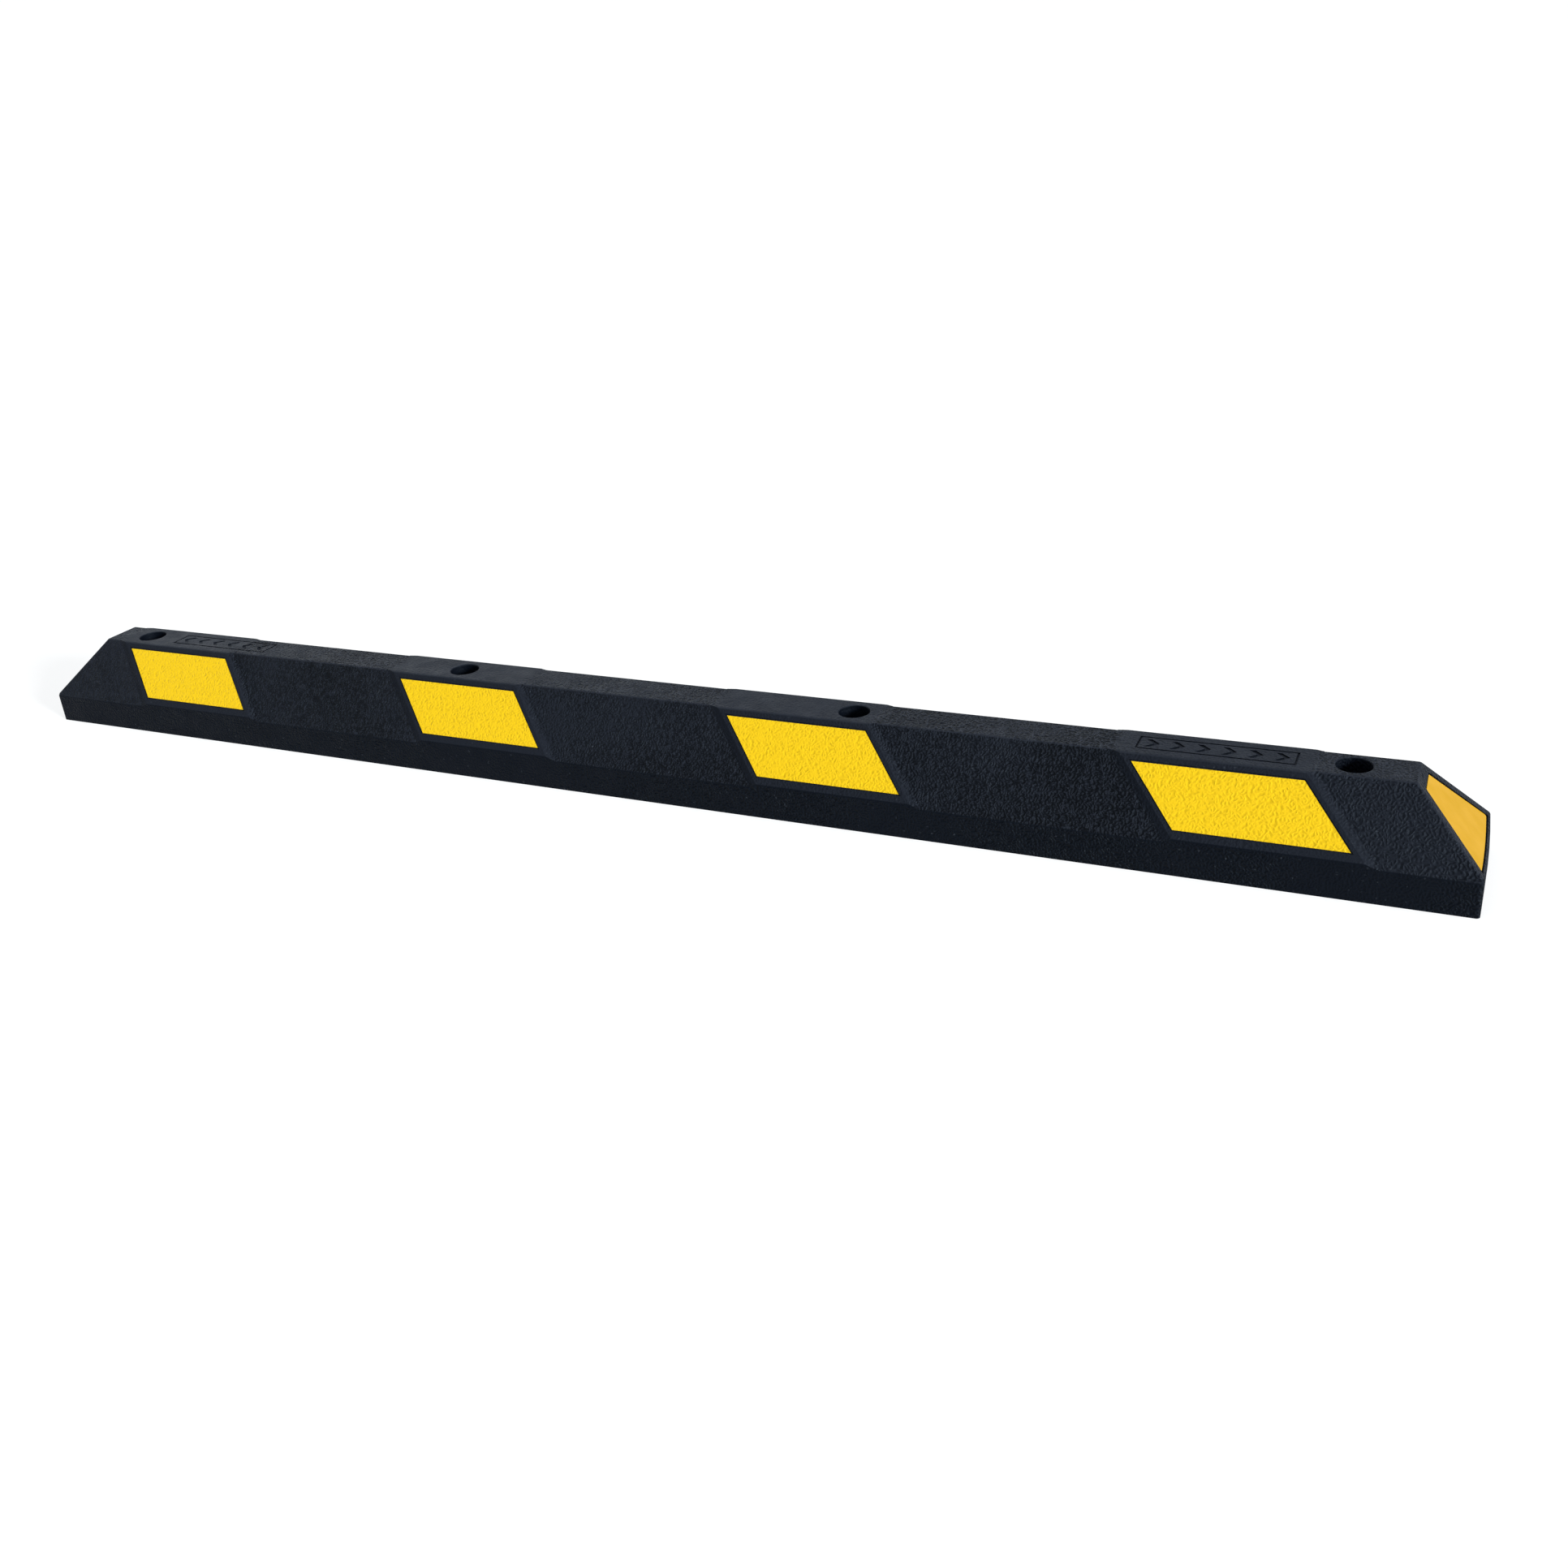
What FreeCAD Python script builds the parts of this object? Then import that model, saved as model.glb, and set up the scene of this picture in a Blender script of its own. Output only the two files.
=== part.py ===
import FreeCAD, Part
import math
import os

# Moulded rubber wheel stop for a parking bay, in millimetres.
# X runs along the bar, Y across it and Z up; the origin is the centre of the underside.
# Low Y is the front. The back is the front's mirror image.

# Overall size: 72 x 6 x 4 1/4 inches
LENGTH = 1828.8
WIDTH = 152.4
HEIGHT = 107.95

# Cross-section: an upright wall, then a slope up to a flat top
WALL_HEIGHT = 36.5
TOP_WIDTH = 50.0
EDGE_RADIUS = 4.0

# Ends: an upright wall that bows outwards, then a slope up to the top
END_RUN = 69.5
END_BOW = 1.7

# Raised pads on the slopes, one for each side tape
PAD_COUNT = 4
PAD_PITCH = LENGTH / PAD_COUNT
PAD_PROUD = 3.0
PAD_SIDE_MARGIN = 5.5
PAD_RAMP_RUN = 13.0
PAD_RAMP_EASE = 3.0
PAD_RAMP_OVERSHOOT = 0.1

# Side tapes: leaning parallelograms, each let into a shallow pocket in its pad
TAPE_WIDTH = 168.0
TAPE_DROP = 64.5
TAPE_LEAN = 50.5
TAPE_TOP_MARGIN = 8.4
TAPE_THICKNESS = 0.8
POCKET_DEPTH = 1.6
POCKET_GAP = 1.6

# End tapes: a trapezoid with a bowed foot, its sides nearly parallel to the end slope's edges
END_TAPE_TOP_WIDTH = 34.0
END_TAPE_FOOT_WIDTH = 120.0
END_TAPE_TOP_MARGIN = 12.5
END_TAPE_DROP = 80.0
END_TAPE_CORNER_RADIUS = 2.0

# Anchor holes: a counterbore from the top and a plain bore on down to the ground
HOLE_COUNT = 4
HOLE_SPACING = 524.0
COUNTERBORE_DIAMETER = 35.0
COUNTERBORE_DEPTH = 50.0
BORE_DIAMETER = 19.0
HOLE_MOUTH_RADIUS = 1.5

# Chevron panels, engraved in the top near each end
PANEL_CENTRE = 655.0
PANEL_LENGTH = 158.0
PANEL_WIDTH = 30.0
PANEL_LINE = 2.2
PANEL_DEPTH = 1.4
CHEVRON_COUNT = 6
CHEVRON_WIDTH = 18.0
CHEVRON_POINT = 9.0
CHEVRON_ARM = 6.0

# Hollows under the bar that save rubber and weight, in the bays between anchor holes
HOLLOWS_PER_BAY = 3
HOLLOW_PITCH = 150.0
HOLLOW_LENGTH = 132.0
HOLLOW_WIDTH = 98.0
HOLLOW_DEPTH = 64.0
HOLLOW_DRAFT = 16.0
HOLLOW_CORNER_RADIUS = 10.0

# How far a cutting solid runs past the surface that it cuts
OVERRUN = 6.0

SLOPE_RISE = HEIGHT - WALL_HEIGHT
SLOPE_RUN = (WIDTH - TOP_WIDTH) / 2
SLOPE_ANGLE = math.atan2(SLOPE_RISE, SLOPE_RUN)
END_ANGLE = math.atan2(SLOPE_RISE, END_RUN)
PAD_HALF_TOP = TOP_WIDTH / 2 + PAD_PROUD
PAD_FOOT_Z = WALL_HEIGHT + PAD_PROUD * math.tan(SLOPE_ANGLE)
PAD_THICKNESS = PAD_PROUD * math.sin(SLOPE_ANGLE)
PAD_HALF_WIDTH = TAPE_WIDTH / 2 + PAD_SIDE_MARGIN
LEAN_PER_DROP = TAPE_LEAN / TAPE_DROP
TAPE_MIDDLE_DROP = TAPE_TOP_MARGIN + TAPE_DROP / 2

V = FreeCAD.Vector


def spread(count, pitch):
    """Places of count things at an even pitch, centred on zero."""
    return [(i - (count - 1) / 2) * pitch for i in range(count)]


def polygon_face(points):
    """Flat face inside a closed run of straight edges."""
    return Part.Face(Part.makePolygon(points + points[:1]))


def rounded(shape, radius, belongs):
    """The shape with a fillet on every edge that belongs."""
    return shape.makeFillet(radius, [edge for edge in shape.Edges if belongs(edge)])


def mirrored(shape):
    """The shape's mirror image on the bar's other side."""
    return shape.mirror(V(0, 0, 0), V(0, 1, 0))


# Places on the front slope: x along the bar, y up the slope and z out of it, from a pad's top edge
FRONT_SLOPE = FreeCAD.Placement(
    V(0, -PAD_HALF_TOP, HEIGHT),
    FreeCAD.Rotation(
        V(1, 0, 0),
        V(0, math.cos(SLOPE_ANGLE), math.sin(SLOPE_ANGLE)),
        V(0, -math.sin(SLOPE_ANGLE), math.cos(SLOPE_ANGLE)),
        "ZXY",
    ),
)

# Places on the right-hand end slope: x across the bar, y up the slope and z out of it, from its top edge
RIGHT_SLOPE = FreeCAD.Placement(
    V(LENGTH / 2 - END_RUN, 0, HEIGHT),
    FreeCAD.Rotation(
        V(0, 1, 0),
        V(-math.cos(END_ANGLE), 0, math.sin(END_ANGLE)),
        V(math.sin(END_ANGLE), 0, math.cos(END_ANGLE)),
        "ZXY",
    ),
)


def on_slope(shape, placement):
    """A shape drawn flat, laid on one of the slopes."""
    laid = shape.copy()
    laid.Placement = placement.multiply(laid.Placement)
    return laid


def section_bar(half_top, foot_z, start, end):
    """Bar of the wall-and-slope section with its four long edges rounded."""
    half = WIDTH / 2
    outline = [(-half, 0), (half, 0), (half, foot_z), (half_top, HEIGHT), (-half_top, HEIGHT), (-half, foot_z)]
    face = polygon_face([V(start, y, z) for y, z in outline])
    bar = face.extrude(V(end - start, 0, 0))
    lowest_rounded = foot_z - 1

    def long_and_high(edge):
        box = edge.BoundBox
        return box.XLength > 1 and box.YLength < 1 and box.ZMin > lowest_rounded

    return rounded(bar, EDGE_RADIUS, long_and_high)


def pad_ramp(side):
    """S-shaped side of a pad: from its flat down to the slope, at high X (side 1) or low X (side -1)."""
    high = PAD_RAMP_OVERSHOOT
    low = -PAD_THICKNESS - PAD_RAMP_OVERSHOOT
    start = PAD_HALF_WIDTH
    end = start + PAD_RAMP_RUN
    poles = [(start, high), (start + PAD_RAMP_EASE, high), (end - PAD_RAMP_EASE, low), (end, low)]
    curve = Part.BezierCurve()
    curve.setPoles([V(side * x, 0, z) for x, z in poles])
    return curve.toShape()


def pad_wedge(centre):
    """Leaning block with ramped sides that marks out one front pad."""
    right = pad_ramp(1)
    left = pad_ramp(-1)
    depth = V(0, 0, -OVERRUN)
    right_top, right_foot = [vertex.Point for vertex in right.Vertexes]
    left_top, left_foot = [vertex.Point for vertex in left.Vertexes]
    outline = [left, Part.makeLine(left_top, right_top), right]
    outline.append(Part.makeLine(right_foot, right_foot + depth))
    outline.append(Part.makeLine(right_foot + depth, left_foot + depth))
    outline.append(Part.makeLine(left_foot + depth, left_foot))
    face = Part.Face(Part.Wire(outline))
    face.translate(V(centre + LEAN_PER_DROP * (-OVERRUN - TAPE_MIDDLE_DROP), OVERRUN, 0))
    run = HEIGHT / math.sin(SLOPE_ANGLE)
    return on_slope(face.extrude(V(LEAN_PER_DROP * run, -run, 0)), FRONT_SLOPE)


def front_pad(centre):
    """Raised pad on the front slope."""
    reach = TAPE_WIDTH
    bar = section_bar(PAD_HALF_TOP, PAD_FOOT_Z, centre - reach, centre + reach)
    return bar.common(pad_wedge(centre))


def end_envelope():
    """Everything between the two ends: bowed walls below and slopes above."""
    half = LENGTH / 2
    side = WIDTH / 2 + OVERRUN
    bow = END_BOW * (side / (WIDTH / 2)) ** 2
    right = Part.Arc(V(half - bow, -side, 0), V(half, 0, 0), V(half - bow, side, 0)).toShape()
    left = Part.Arc(V(bow - half, side, 0), V(-half, 0, 0), V(bow - half, -side, 0)).toShape()
    back = Part.makeLine(V(half - bow, side, 0), V(bow - half, side, 0))
    front = Part.makeLine(V(bow - half, -side, 0), V(half - bow, -side, 0))
    plan = Part.Face(Part.Wire([right, back, left, front])).extrude(V(0, 0, HEIGHT))
    outline = [(half, 0), (half, WALL_HEIGHT), (half - END_RUN, HEIGHT)]
    outline += [(-x, z) for x, z in reversed(outline)]
    profile = polygon_face([V(x, -side, z) for x, z in outline]).extrude(V(0, 2 * side, 0))
    return plan.common(profile)


def is_end_edge(edge):
    """True for the edges around each end slope and for the end wall's two upright corners."""
    middle = edge.CenterOfMass
    slope_x = LENGTH / 2 - END_RUN * (middle.z - WALL_HEIGHT) / SLOPE_RISE
    on_the_slope = abs(abs(middle.x) - slope_x) < 1.0
    on_the_wall = abs(middle.x) > LENGTH / 2 - 2 * END_BOW and middle.z > 1
    return on_the_slope or on_the_wall


def side_tape_outline(grow):
    """Flat outline of a side tape at the bar's centre, grown by a gap all round."""
    half = TAPE_WIDTH / 2 + grow
    top = -TAPE_TOP_MARGIN + grow
    foot = -TAPE_TOP_MARGIN - TAPE_DROP - grow
    corners = []
    for side, level in ((-1, top), (1, top), (1, foot), (-1, foot)):
        lean = LEAN_PER_DROP * (-level - TAPE_MIDDLE_DROP)
        corners.append(V(side * half + lean, level, 0))
    return polygon_face(corners)


def end_tape_outline(grow):
    """Flat outline of an end tape, grown by a gap all round; its foot follows the end wall's bow."""
    top = -END_TAPE_TOP_MARGIN + grow
    foot = -END_TAPE_TOP_MARGIN - END_TAPE_DROP - grow
    half_top = END_TAPE_TOP_WIDTH / 2 + grow
    half_foot = END_TAPE_FOOT_WIDTH / 2 + grow
    low = V(0, foot - END_BOW, 0)
    corners = [V(-half_foot, foot, 0), V(half_foot, foot, 0), V(half_top, top, 0), V(-half_top, top, 0)]
    edges = [
        Part.Arc(corners[0], low, corners[1]).toShape(),
        Part.makeLine(corners[1], corners[2]),
        Part.makeLine(corners[2], corners[3]),
        Part.makeLine(corners[3], corners[0]),
    ]
    return Part.Face(Part.Wire(edges))


def let_in(outline, bottom, thickness):
    """Plate of a flat outline, from bottom to bottom plus thickness out of the slope."""
    outline.translate(V(0, 0, bottom))
    return outline.extrude(V(0, 0, thickness))


def side_tapes(grow, thickness):
    """The front side's four tapes, or the pockets that hold them when grown."""
    plates = []
    for centre in spread(PAD_COUNT, PAD_PITCH):
        plate = let_in(side_tape_outline(grow), -POCKET_DEPTH, thickness)
        plate.translate(V(centre, 0, 0))
        plates.append(on_slope(plate, FRONT_SLOPE))
    return plates


def end_tape(grow, thickness):
    """The right-hand end's tape, or the pocket that holds it when grown."""
    plate = let_in(end_tape_outline(grow), -POCKET_DEPTH, thickness)
    if not grow:
        plate = rounded(plate, END_TAPE_CORNER_RADIUS, lambda edge: edge.Length < thickness + 0.1)
    return on_slope(plate, RIGHT_SLOPE)


def turned(shape):
    """The shape swung half a turn about the bar's upright centre line, to the other end."""
    copy = shape.copy()
    copy.rotate(V(0, 0, 0), V(0, 0, 1), 180)
    return copy


def anchor_hole(x):
    """Counterbore and bore of one anchor hole, to cut away."""
    counterbore = Part.makeCylinder(COUNTERBORE_DIAMETER / 2, COUNTERBORE_DEPTH, V(x, 0, HEIGHT - COUNTERBORE_DEPTH))
    bore = Part.makeCylinder(BORE_DIAMETER / 2, HEIGHT, V(x, 0, 0))
    return counterbore.fuse(bore)


def is_hole_mouth(edge):
    """True for the round edge of a counterbore in the top face."""
    box = edge.BoundBox
    return abs(box.ZMin - HEIGHT) < 0.01 and box.ZLength < 0.01 and abs(box.XLength - COUNTERBORE_DIAMETER) < 0.1


def chevron(x):
    """Arrow-shaped groove, point towards high X, to cut into the top."""
    half = CHEVRON_WIDTH / 2
    front = [V(x, -half, 0), V(x + CHEVRON_POINT, 0, 0), V(x, half, 0)]
    back = [V(point.x - CHEVRON_ARM, point.y, 0) for point in reversed(front)]
    return polygon_face(front + back).extrude(V(0, 0, PANEL_DEPTH + 1))


def panel():
    """Grooves of the right-hand panel: a thin frame around a row of chevrons."""
    depth = PANEL_DEPTH + 1
    frame = Part.makeBox(PANEL_LENGTH, PANEL_WIDTH, depth, V(-PANEL_LENGTH / 2, -PANEL_WIDTH / 2, 0))
    inner_length = PANEL_LENGTH - 2 * PANEL_LINE
    inner_width = PANEL_WIDTH - 2 * PANEL_LINE
    grooves = frame.cut(Part.makeBox(inner_length, inner_width, depth, V(-inner_length / 2, -inner_width / 2, 0)))
    pitch = inner_length / CHEVRON_COUNT
    middle = (CHEVRON_POINT - CHEVRON_ARM) / 2
    cuts = [grooves] + [chevron(x - middle) for x in spread(CHEVRON_COUNT, pitch)]
    both = Part.makeCompound(cuts)
    both.translate(V(PANEL_CENTRE, 0, HEIGHT - PANEL_DEPTH))
    return both


def rounded_rectangle(length, width, z):
    """Closed wire of a rectangle with round corners, centred on the origin."""
    box = Part.makeBox(length, width, 1, V(-length / 2, -width / 2, z))
    box = rounded(box, HOLLOW_CORNER_RADIUS, lambda edge: edge.BoundBox.ZLength > 0.5)
    lowest = min(box.Faces, key=lambda face: face.CenterOfMass.z)
    return lowest.OuterWire


def hollow(x):
    """Tapering hollow in the underside, to cut away."""
    mouth = rounded_rectangle(HOLLOW_LENGTH, HOLLOW_WIDTH, 0)
    roof = rounded_rectangle(HOLLOW_LENGTH - HOLLOW_DRAFT, HOLLOW_WIDTH - 2 * HOLLOW_DRAFT, HOLLOW_DEPTH)
    solid = Part.makeLoft([mouth, roof], True, True)
    solid.translate(V(x, 0, 0))
    return solid


def rubber_body():
    """The one-piece rubber moulding."""
    body = section_bar(TOP_WIDTH / 2, WALL_HEIGHT, -LENGTH / 2, LENGTH / 2)
    body = body.common(end_envelope()).removeSplitter()
    body = rounded(body, EDGE_RADIUS, is_end_edge)
    pads = [front_pad(centre) for centre in spread(PAD_COUNT, PAD_PITCH)]
    body = body.fuse(pads + [mirrored(pad) for pad in pads]).removeSplitter()
    body = body.cut([anchor_hole(x) for x in spread(HOLE_COUNT, HOLE_SPACING)])
    body = rounded(body, HOLE_MOUTH_RADIUS, is_hole_mouth)
    side_pockets = side_tapes(POCKET_GAP, POCKET_DEPTH + OVERRUN)
    right_pocket = end_tape(POCKET_GAP, POCKET_DEPTH + OVERRUN)
    body = body.cut(side_pockets + [mirrored(pocket) for pocket in side_pockets])
    body = body.cut([right_pocket, turned(right_pocket), panel(), turned(panel())])
    hollows = []
    for bay in spread(HOLE_COUNT - 1, HOLE_SPACING):
        hollows += [hollow(bay + x) for x in spread(HOLLOWS_PER_BAY, HOLLOW_PITCH)]
    return body.cut(hollows)


def write(name, shape):
    """Write one piece, after checking that it is a single sound solid."""
    if len(shape.Solids) != 1 or not shape.isValid():
        raise ValueError(name + " is not one valid solid")
    solid = shape.Solids[0]
    solid.exportStep("parts/" + name + ".step")
    print(name, round(solid.Volume / 1000, 1), "cm3")


os.makedirs("parts", exist_ok=True)
write("rubber_body", rubber_body())
for number, tape in enumerate(side_tapes(0, TAPE_THICKNESS), 1):
    write("front_tape_" + str(number), tape)
    write("back_tape_" + str(number), mirrored(tape))
right_tape = end_tape(0, TAPE_THICKNESS)
write("end_tape_right", right_tape)
write("end_tape_left", turned(right_tape))
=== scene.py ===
import math

import bpy
from mathutils import Matrix, Vector


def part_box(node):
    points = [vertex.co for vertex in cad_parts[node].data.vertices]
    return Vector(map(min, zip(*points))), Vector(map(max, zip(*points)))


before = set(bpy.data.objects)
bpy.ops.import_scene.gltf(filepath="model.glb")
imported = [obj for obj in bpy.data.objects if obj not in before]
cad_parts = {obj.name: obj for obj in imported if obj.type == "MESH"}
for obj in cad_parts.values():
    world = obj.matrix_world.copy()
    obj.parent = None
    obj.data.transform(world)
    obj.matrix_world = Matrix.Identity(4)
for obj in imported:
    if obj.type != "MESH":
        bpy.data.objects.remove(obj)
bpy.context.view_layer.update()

MM = 0.001

# Raised pads: how far each leans along the bar for its height, where its smooth rubber ends
# beside and below its tape, and how much grain it has
PAD_SLANT = 0.964
PAD_REACH = (92 * MM, 103 * MM)
PAD_FOOT = (38 * MM, 42 * MM)
PAD_GRAIN = 0.28

# Upness is how far a surface faces up: 0 on the walls, 1 on the top and this on the slopes
SLOPE_UP = 0.583

# Grain by upness: full on the slopes, less on the walls and top, and a trace on the rounded edges
SLOPE_GRAIN_FADE = (0.12, 0.24)
WALL_GRAIN = 0.6
WALL_GRAIN_FADE = (0.05, 0.2)
TOP_GRAIN = 0.85
TOP_GRAIN_FADE = (0.95, 0.99)
EDGE_GRAIN = 0.15

# Dust and painted sheen by upness: none on the walls, a little on the slopes and the most on the top, which
# is painted lighter as if lit from the sky above
SLOPE_DUST_AND_SHEEN_FADE = (0.3, 0.58)
SLOPE_DUST_AND_SHEEN = 0.25
TOP_DUST_AND_SHEEN_FADE = (0.66, 1.0)

# Camera: where it stands, what it looks at, how far it leans and its focal length in mm
CAMERA_PLACE = Vector((0.8734, -1.4278, 0.7656))
CAMERA_TARGET = Vector((0.1628, 0.0109, 0.0))
CAMERA_LEAN = math.radians(-4.565)
LENS = 34.82
SENSOR = 36.0

# Sky: white at the horizon, dimming over a band given as the sine of the height in the sky
SKY_COLOUR = (0.88, 0.95, 1.0, 1.0)
SKY_HORIZON = 1.15
SKY_TOP = 0.2
SKY_BAND = (0.1, 0.6)

# Lights: a low key light along the bar from the right, and broad lights overhead and behind.
# Each spread is in degrees.
KEY_LIGHT = {"direction": (0.91, -0.31, 0.26), "strength": 5.0, "spread": 12}
TOP_LIGHT = {"direction": (0.0, -0.2, 1.0), "strength": 1.1, "spread": 80}
BACK_LIGHT = {"direction": (-0.80, 0.50, 0.35), "strength": 0.6, "spread": 60}
LIGHT_COLOUR = (0.95, 0.98, 1.0)

# Floor: a pale, faintly glowing table, so wide that its edge is lost at the horizon; radius in metres
FLOOR_RADIUS = 60.0
FLOOR_SIDES = 96
FLOOR_COLOUR = (0.35, 0.35, 0.35, 1.0)
FLOOR_GLOW = 0.7

# Mould's winding grain: its scale, how deep it is pressed in, how far down the grain its grooves' painted
# shade is full, and how much of it shows through the side tapes
GRAIN_PER_METRE = 265
GRAIN_DEPTH = 8.5 * MM
GROOVE_SHADE_DEPTH = 0.3
TAPE_GRAIN = 0.09

# Rubber: colours, the darker one painted shade in the grain's grooves and the dust colour with a painted sky
# sheen, then the scales and depths of its unevenness
RUBBER_IN_GROOVE_SHADE = (0.0009, 0.0015, 0.0034, 1.0)
RUBBER_ON_RIDGES = (0.0022, 0.0034, 0.0068, 1.0)
# Dust colour, tinted blue-grey as a painted reflection of the sky
RUBBER_DUST_AND_SHEEN = (0.038, 0.043, 0.057, 1.0)
RUBBER_TINT = (0.70, 0.86, 1.0, 1.0)
RUBBER_FLECK = (0.040, 0.046, 0.056, 1.0)
RUBBER_SHINE = 0.08
RUBBER_ROUGHNESS = (0.52, 0.66)
RUBBER_ROUGHNESS_PER_METRE = 45
SWELL_PER_METRE = 22
SWELL_DEPTH = 1.0 * MM
PITS_PER_METRE = 1100
PITS_DEPTH = 0.15 * MM
GRAIN_PATCHES_PER_METRE = 6
GRAIN_PATCH_EDGES = (0.35, 0.65)
FAINTEST_GRAIN_PATCH = 0.4
# Patches of the dust and painted sheen on the top
DUST_AND_SHEEN_PATCHES_PER_METRE = 30
DUST_AND_SHEEN_PATCH_EDGES = (0.38, 0.62)
DUST_AND_SHEEN_PATCH_STRENGTH = (0.6, 1.1)
FLECKS_PER_METRE = 600
FLECK_SHARE = 0.01
FLECK_STRENGTH = 0.4

# Side tapes
SIDE_TAPE_LIGHT = (0.71, 0.455, 0.0075, 1.0)
SIDE_TAPE_DARK = (0.60, 0.375, 0.0045, 1.0)
SIDE_TAPE_SHINE = 0.08
SIDE_TAPE_ROUGHNESS = (0.35, 0.5)
SIDE_TAPE_ROUGHNESS_PER_METRE = 80
SPECKLE_PER_METRE = 700
SPECKLE_DEPTH = 0.2 * MM
GRAIN_SHADE_RANGE = (0.1, 0.7)
SHADE_FROM_GRAIN = 0.6
SPECKLE_SHADE_RANGE = (0.4, 0.7)
SHADE_FROM_SPECKLE = 0.4

# End tapes
END_TAPE_LIGHT = (0.44, 0.235, 0.006, 1.0)
END_TAPE_DARK = (0.40, 0.215, 0.005, 1.0)
END_TAPE_SHINE = 0.025
END_TAPE_ROUGHNESS = (0.3, 0.42)
CLOUD_PER_METRE = 40
CLOUD_DEPTH = 0.3 * MM
FILM_TEXTURE_PER_METRE = 500
FILM_TEXTURE_DEPTH = 0.03 * MM

# Where most of a noise's values lie
NOISE_RANGE = (0.3, 0.7)

MIDDLE_GREY = (0.5, 0.5, 0.5, 1.0)
WHITE = (1.0, 1.0, 1.0, 1.0)

# Sockets of the colour Mix node, which share their names with its number sockets
MIX_SHARE = 0
MIX_FIRST = 6
MIX_SECOND = 7
MIX_RESULT = 2


class Graph:
    """Adds nodes to the tree of one material or world."""

    def __init__(self, owner):
        owner.use_nodes = True
        self.tree = owner.node_tree

    def add(self, kind, inputs=None, **settings):
        """A new node; each of its inputs is a plain value or another node's output."""
        made = self.tree.nodes.new(kind)
        for name, value in settings.items():
            setattr(made, name, value)
        for name, value in (inputs or {}).items():
            if isinstance(value, bpy.types.NodeSocket):
                self.tree.links.new(value, made.inputs[name])
            else:
                made.inputs[name].default_value = value
        return made

    def place(self):
        """Where a point is on the object, in metres."""
        return self.add("ShaderNodeTexCoord").outputs["Object"]

    def noise(self, place, per_metre, detail=2.0):
        inputs = {"Vector": place, "Scale": per_metre, "Detail": detail}
        return self.add("ShaderNodeTexNoise", inputs).outputs["Fac"]

    def cell_colour(self, place, per_metre):
        """A colour picked at random for each of many small cells."""
        return self.add("ShaderNodeTexVoronoi", {"Vector": place, "Scale": per_metre}).outputs["Color"]

    def remap(self, value, low, high, to_low=0.0, to_high=1.0):
        """The value from low to high, turned into one from to_low to to_high and held inside them."""
        inputs = {"Value": value, "From Min": low, "From Max": high, "To Min": to_low, "To Max": to_high}
        return self.add("ShaderNodeMapRange", inputs).outputs["Result"]

    def math(self, operation, first, second):
        return self.add("ShaderNodeMath", {0: first, 1: second}, operation=operation).outputs[0]

    def mix(self, share, first, second):
        """The first colour, with a share of the second."""
        inputs = {MIX_SHARE: share, MIX_FIRST: first, MIX_SECOND: second}
        return self.add("ShaderNodeMix", inputs, data_type="RGBA").outputs[MIX_RESULT]

    def bump(self, height, depth, under=None, strength=1.0):
        """Surface direction with a height of that depth pressed into it, over another bump."""
        inputs = {"Height": height, "Distance": depth, "Strength": strength}
        if under:
            inputs["Normal"] = under
        return self.add("ShaderNodeBump", inputs).outputs["Normal"]


def new_material(name):
    """A material, its graph and its shader."""
    material = bpy.data.materials.new(name)
    graph = Graph(material)
    return material, graph, graph.tree.nodes["Principled BSDF"]


def finish_material(graph, shader, colour, roughness, normal, shine):
    for socket, output in (("Base Color", colour), ("Roughness", roughness), ("Normal", normal)):
        graph.tree.links.new(output, shader.inputs[socket])
    shader.inputs["Specular IOR Level"].default_value = shine


def mould_grain(graph, place):
    """How far down the mould's grain is: 0 along its winding ridges and about 0.4 between them."""
    swing = graph.remap(graph.noise(place, GRAIN_PER_METRE, detail=0.0), 0.0, 1.0, -1.0, 1.0)
    return graph.math("ABSOLUTE", swing, 0.0)


def upness(graph):
    """How far the surface faces up: 0 on a wall and 1 on the top."""
    normal = graph.add("ShaderNodeTexCoord").outputs["Normal"]
    return graph.add("ShaderNodeSeparateXYZ", {"Vector": normal}).outputs["Z"]


def grain_by_facing(graph):
    """How much grain the rubber has for the way that it faces."""
    up = upness(graph)
    wall = graph.remap(up, *WALL_GRAIN_FADE, WALL_GRAIN, EDGE_GRAIN)
    off_slope = graph.math("ABSOLUTE", graph.math("SUBTRACT", up, SLOPE_UP), 0.0)
    slope = graph.remap(off_slope, *SLOPE_GRAIN_FADE, 1.0, EDGE_GRAIN)
    top = graph.remap(up, *TOP_GRAIN_FADE, EDGE_GRAIN, TOP_GRAIN)
    return graph.math("MAXIMUM", graph.math("MAXIMUM", wall, slope), top)


def grain_off_pads(graph, place):
    """How much grain the rubber has for its place: little on the raised pads and full beyond them."""
    first, second = (sum(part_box("front_tape_%d" % n), Vector()) / 2 for n in (1, 2))
    pitch = second.x - first.x
    spot = graph.add("ShaderNodeSeparateXYZ", {"Vector": place})
    leaning = graph.math("MULTIPLY", graph.math("SUBTRACT", spot.outputs["Z"], first.z), PAD_SLANT)
    along = graph.math("SUBTRACT", graph.math("ADD", spot.outputs["X"], leaning), first.x)
    from_pad = graph.math("PINGPONG", along, pitch / 2)
    beside = graph.remap(from_pad, *PAD_REACH, PAD_GRAIN, 1.0)
    below = graph.remap(spot.outputs["Z"], *PAD_FOOT, 1.0, PAD_GRAIN)
    return graph.math("MAXIMUM", beside, below)


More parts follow.
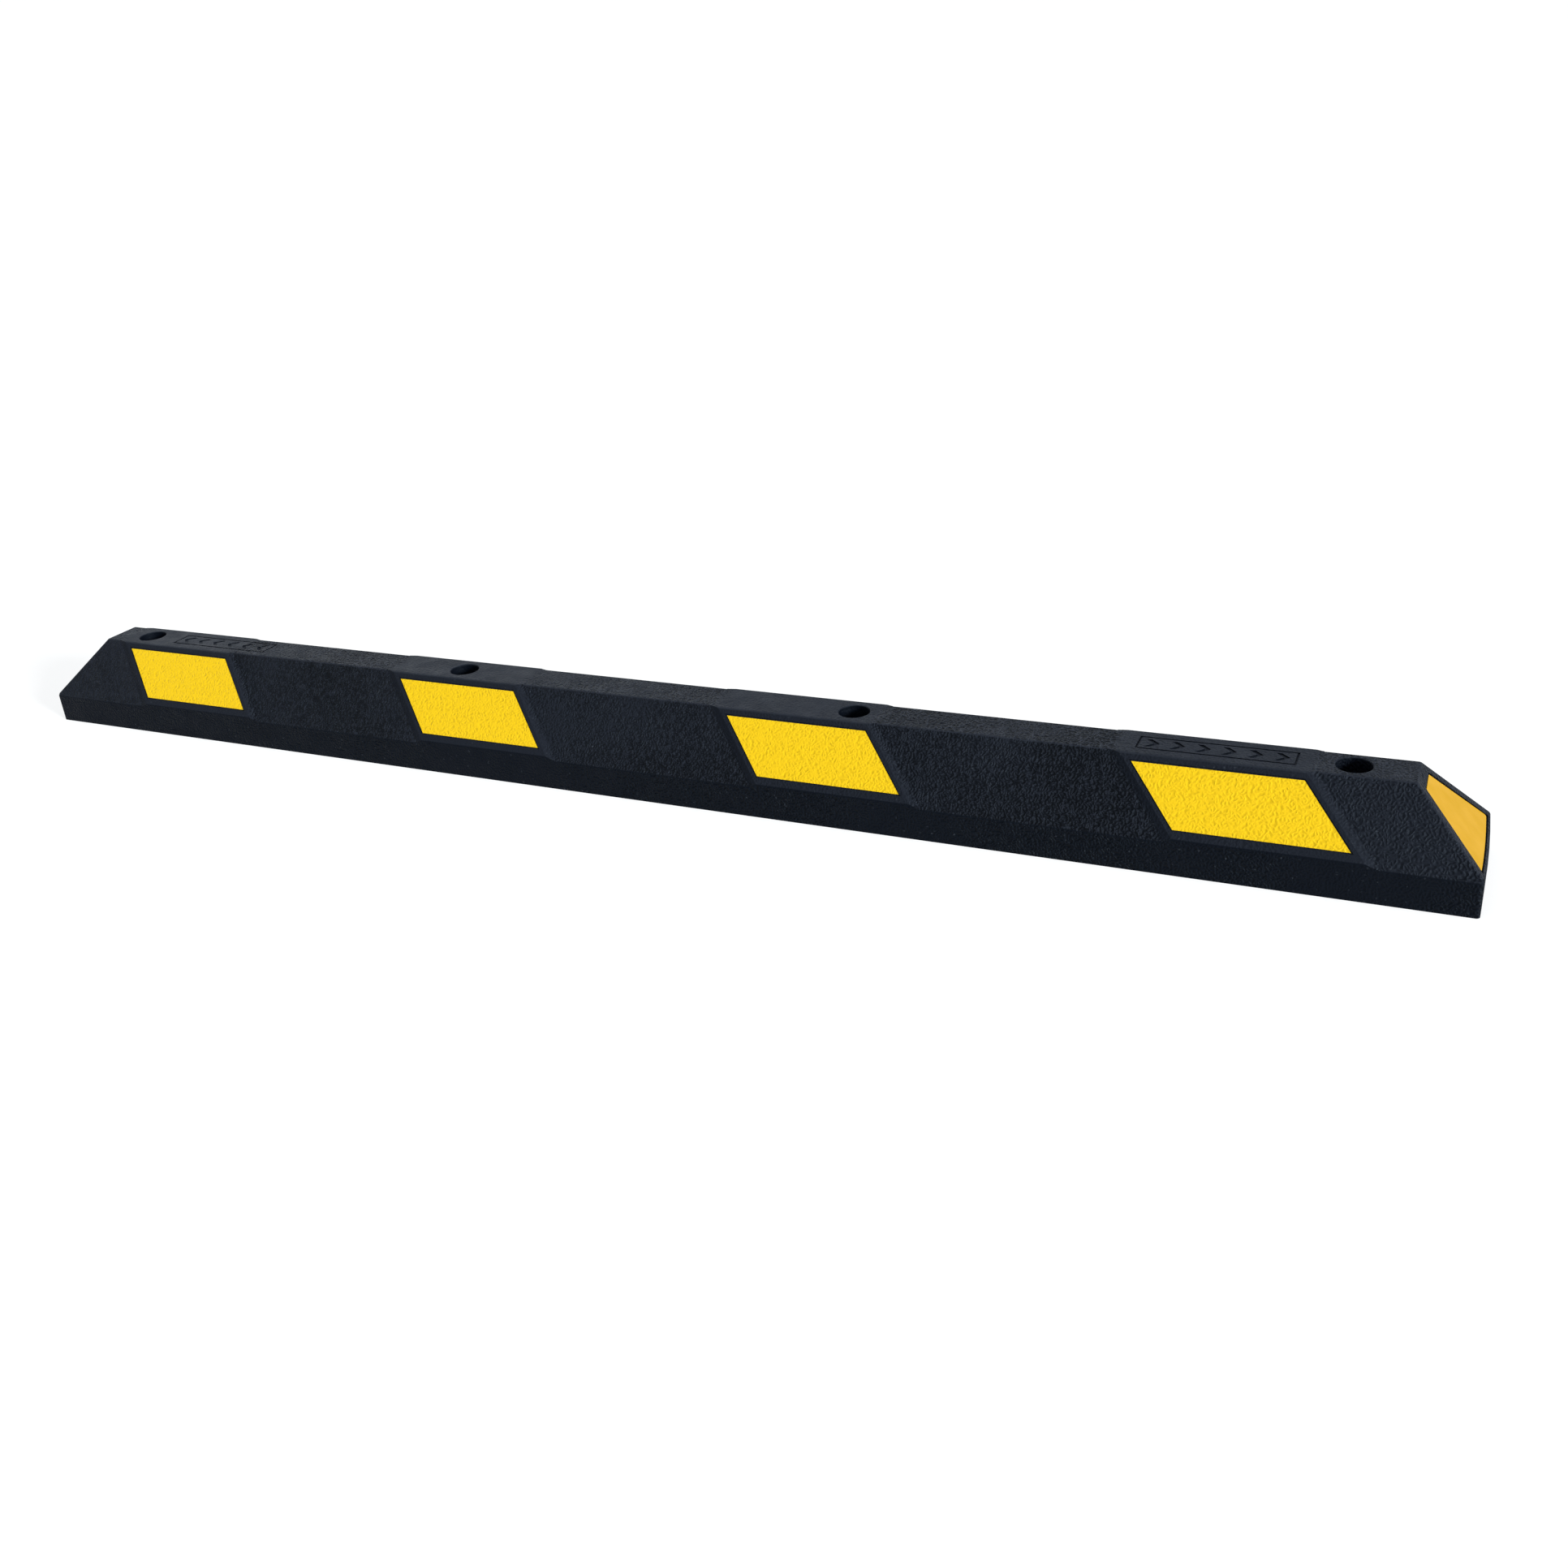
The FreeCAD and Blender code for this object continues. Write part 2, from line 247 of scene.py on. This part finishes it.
def dust_and_sheen_by_facing(graph, patches):
    """How much dust and painted sheen the rubber has for the way that it faces: faces that look up are
    painted lighter for the light from above; on the top it lies in patches.
    """
    up = upness(graph)
    slope = graph.remap(up, *SLOPE_DUST_AND_SHEEN_FADE, 0.0, SLOPE_DUST_AND_SHEEN)
    top = graph.remap(up, *TOP_DUST_AND_SHEEN_FADE, 0.0, 1.0 - SLOPE_DUST_AND_SHEEN)
    return graph.math("ADD", slope, graph.math("MULTIPLY", top, patches))


def rubber():
    """Recycled crumb rubber: near black, grained by its mould, with painted shade in the grain's grooves, and
    faintly dusty with a painted sky sheen where it faces up.
    """
    material, graph, shader = new_material("recycled_rubber")
    shader.inputs["Specular Tint"].default_value = RUBBER_TINT
    place = graph.place()

    grain = mould_grain(graph, place)
    patchy = graph.noise(place, GRAIN_PATCHES_PER_METRE)
    patches = graph.remap(patchy, *GRAIN_PATCH_EDGES, FAINTEST_GRAIN_PATCH, 1.0)
    grained = graph.math("MULTIPLY", grain_off_pads(graph, place), patches)
    grained = graph.math("MULTIPLY", grained, grain_by_facing(graph))
    normal = graph.bump(graph.noise(place, SWELL_PER_METRE), SWELL_DEPTH)
    normal = graph.bump(grain, -GRAIN_DEPTH, normal, grained)
    normal = graph.bump(graph.noise(place, PITS_PER_METRE), PITS_DEPTH, normal)

    # Painted shade: the grain's grooves are painted darker than its ridges, as the shade that falls in them
    ridges = graph.mix(grained, MIDDLE_GREY, graph.remap(grain, 0.0, GROOVE_SHADE_DEPTH, 1.0, 0.0))
    colour = graph.mix(ridges, RUBBER_IN_GROOVE_SHADE, RUBBER_ON_RIDGES)
    patchy = graph.noise(place, DUST_AND_SHEEN_PATCHES_PER_METRE, detail=8.0)
    patches = graph.remap(patchy, *DUST_AND_SHEEN_PATCH_EDGES, *DUST_AND_SHEEN_PATCH_STRENGTH)
    # Dust and painted sheen: faces that look up are painted lighter and bluer, as if lit by the sky, and the
    # walls are left darker
    dust_and_sheen = dust_and_sheen_by_facing(graph, patches)
    on_ridges = graph.mix(graph.math("POWER", dust_and_sheen, 0.5), WHITE, ridges)
    colour = graph.mix(graph.math("MULTIPLY", dust_and_sheen, on_ridges), colour, RUBBER_DUST_AND_SHEEN)
    pick = graph.add("ShaderNodeSeparateColor", {"Color": graph.cell_colour(place, FLECKS_PER_METRE)})
    fleck = graph.remap(pick.outputs["Red"], 1.0 - FLECK_SHARE, 1.0, 0.0, FLECK_STRENGTH)
    colour = graph.mix(fleck, colour, RUBBER_FLECK)

    wear = graph.noise(place, RUBBER_ROUGHNESS_PER_METRE, detail=5.0)
    roughness = graph.remap(wear, *NOISE_RANGE, *RUBBER_ROUGHNESS)
    finish_material(graph, shader, colour, roughness, normal, RUBBER_SHINE)
    return material


def side_tape():
    """Yellow reflective film pressed onto the grained rubber."""
    material, graph, shader = new_material("yellow_film")
    place = graph.place()
    grain = mould_grain(graph, place)
    speckle = graph.noise(place, SPECKLE_PER_METRE, detail=3.0)
    normal = graph.bump(grain, -GRAIN_DEPTH * TAPE_GRAIN)
    normal = graph.bump(speckle, SPECKLE_DEPTH, normal)
    from_grain = graph.remap(grain, *GRAIN_SHADE_RANGE, 0.0, SHADE_FROM_GRAIN)
    from_speckle = graph.remap(speckle, *SPECKLE_SHADE_RANGE, 0.0, SHADE_FROM_SPECKLE)
    colour = graph.mix(graph.math("ADD", from_grain, from_speckle), SIDE_TAPE_LIGHT, SIDE_TAPE_DARK)
    wear = graph.noise(place, SIDE_TAPE_ROUGHNESS_PER_METRE, detail=4.0)
    roughness = graph.remap(wear, *NOISE_RANGE, *SIDE_TAPE_ROUGHNESS)
    finish_material(graph, shader, colour, roughness, normal, SIDE_TAPE_SHINE)
    return material


def end_tape():
    """Amber prismatic film, smooth and a little glossy."""
    material, graph, shader = new_material("amber_film")
    place = graph.place()
    cloud = graph.noise(place, CLOUD_PER_METRE, detail=4.0)
    normal = graph.bump(cloud, CLOUD_DEPTH)
    normal = graph.bump(graph.noise(place, FILM_TEXTURE_PER_METRE), FILM_TEXTURE_DEPTH, normal)
    colour = graph.mix(graph.remap(cloud, *NOISE_RANGE), END_TAPE_LIGHT, END_TAPE_DARK)
    roughness = graph.remap(cloud, *NOISE_RANGE, *END_TAPE_ROUGHNESS)
    finish_material(graph, shader, colour, roughness, normal, END_TAPE_SHINE)
    return material


def paint(material, starts):
    """Give the material to every CAD node whose name starts that way."""
    for name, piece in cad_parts.items():
        if name.startswith(starts):
            for slot in piece.material_slots:
                slot.material = material


def turned_to(direction):
    """Rotation that points an object's own +Z along the direction."""
    return Vector(direction).to_track_quat("Z", "Y").to_matrix().to_4x4()


def add_light(name, direction, strength, spread):
    """Broad far-off light that comes from the direction."""
    lamp = bpy.data.lights.new(name, "SUN")
    lamp.energy = strength
    lamp.angle = math.radians(spread)
    lamp.color = LIGHT_COLOUR
    holder = bpy.data.objects.new(name, lamp)
    holder.matrix_world = turned_to(direction)
    bpy.context.scene.collection.objects.link(holder)


def add_sky():
    """Pale sky: white at the horizon and dimmer overhead."""
    world = bpy.data.worlds.new("sky")
    bpy.context.scene.world = world
    graph = Graph(world)
    way = graph.add("ShaderNodeTexCoord").outputs["Generated"]
    height = graph.add("ShaderNodeSeparateXYZ", {"Vector": way}).outputs["Z"]
    strength = graph.remap(height, *SKY_BAND, SKY_HORIZON, SKY_TOP)
    background = graph.tree.nodes["Background"]
    background.inputs["Color"].default_value = SKY_COLOUR
    graph.tree.links.new(strength, background.inputs["Strength"])


def add_floor():
    """Pale floor that the object stands on."""
    points = []
    for i in range(FLOOR_SIDES):
        angle = math.tau * i / FLOOR_SIDES
        points.append((FLOOR_RADIUS * math.cos(angle), FLOOR_RADIUS * math.sin(angle), 0.0))
    mesh = bpy.data.meshes.new("floor")
    mesh.from_pydata(points, [], [list(range(FLOOR_SIDES))])
    floor = bpy.data.objects.new("floor", mesh)
    bpy.context.scene.collection.objects.link(floor)
    material, graph, shader = new_material("floor")
    shader.inputs["Base Color"].default_value = FLOOR_COLOUR
    shader.inputs["Roughness"].default_value = 1.0
    shader.inputs["Specular IOR Level"].default_value = 0.0
    shader.inputs["Emission Color"].default_value = WHITE
    shader.inputs["Emission Strength"].default_value = FLOOR_GLOW
    mesh.materials.append(material)


def add_camera():
    data = bpy.data.cameras.new("camera")
    data.lens = LENS
    data.sensor_width = SENSOR
    camera = bpy.data.objects.new("camera", data)
    aim = (CAMERA_PLACE - CAMERA_TARGET).to_track_quat("Z", "Y").to_matrix().to_4x4()
    camera.matrix_world = Matrix.Translation(CAMERA_PLACE) @ aim @ Matrix.Rotation(CAMERA_LEAN, 4, "Z")
    bpy.context.scene.collection.objects.link(camera)
    bpy.context.scene.camera = camera


paint(rubber(), "rubber_body")
paint(side_tape(), ("front_tape", "back_tape"))
paint(end_tape(), "end_tape")
add_sky()
add_light("top_light", **TOP_LIGHT)
add_light("back_light", **BACK_LIGHT)
add_light("key_light", **KEY_LIGHT)
add_floor()
add_camera()
bpy.context.scene.view_settings.view_transform = "Standard"
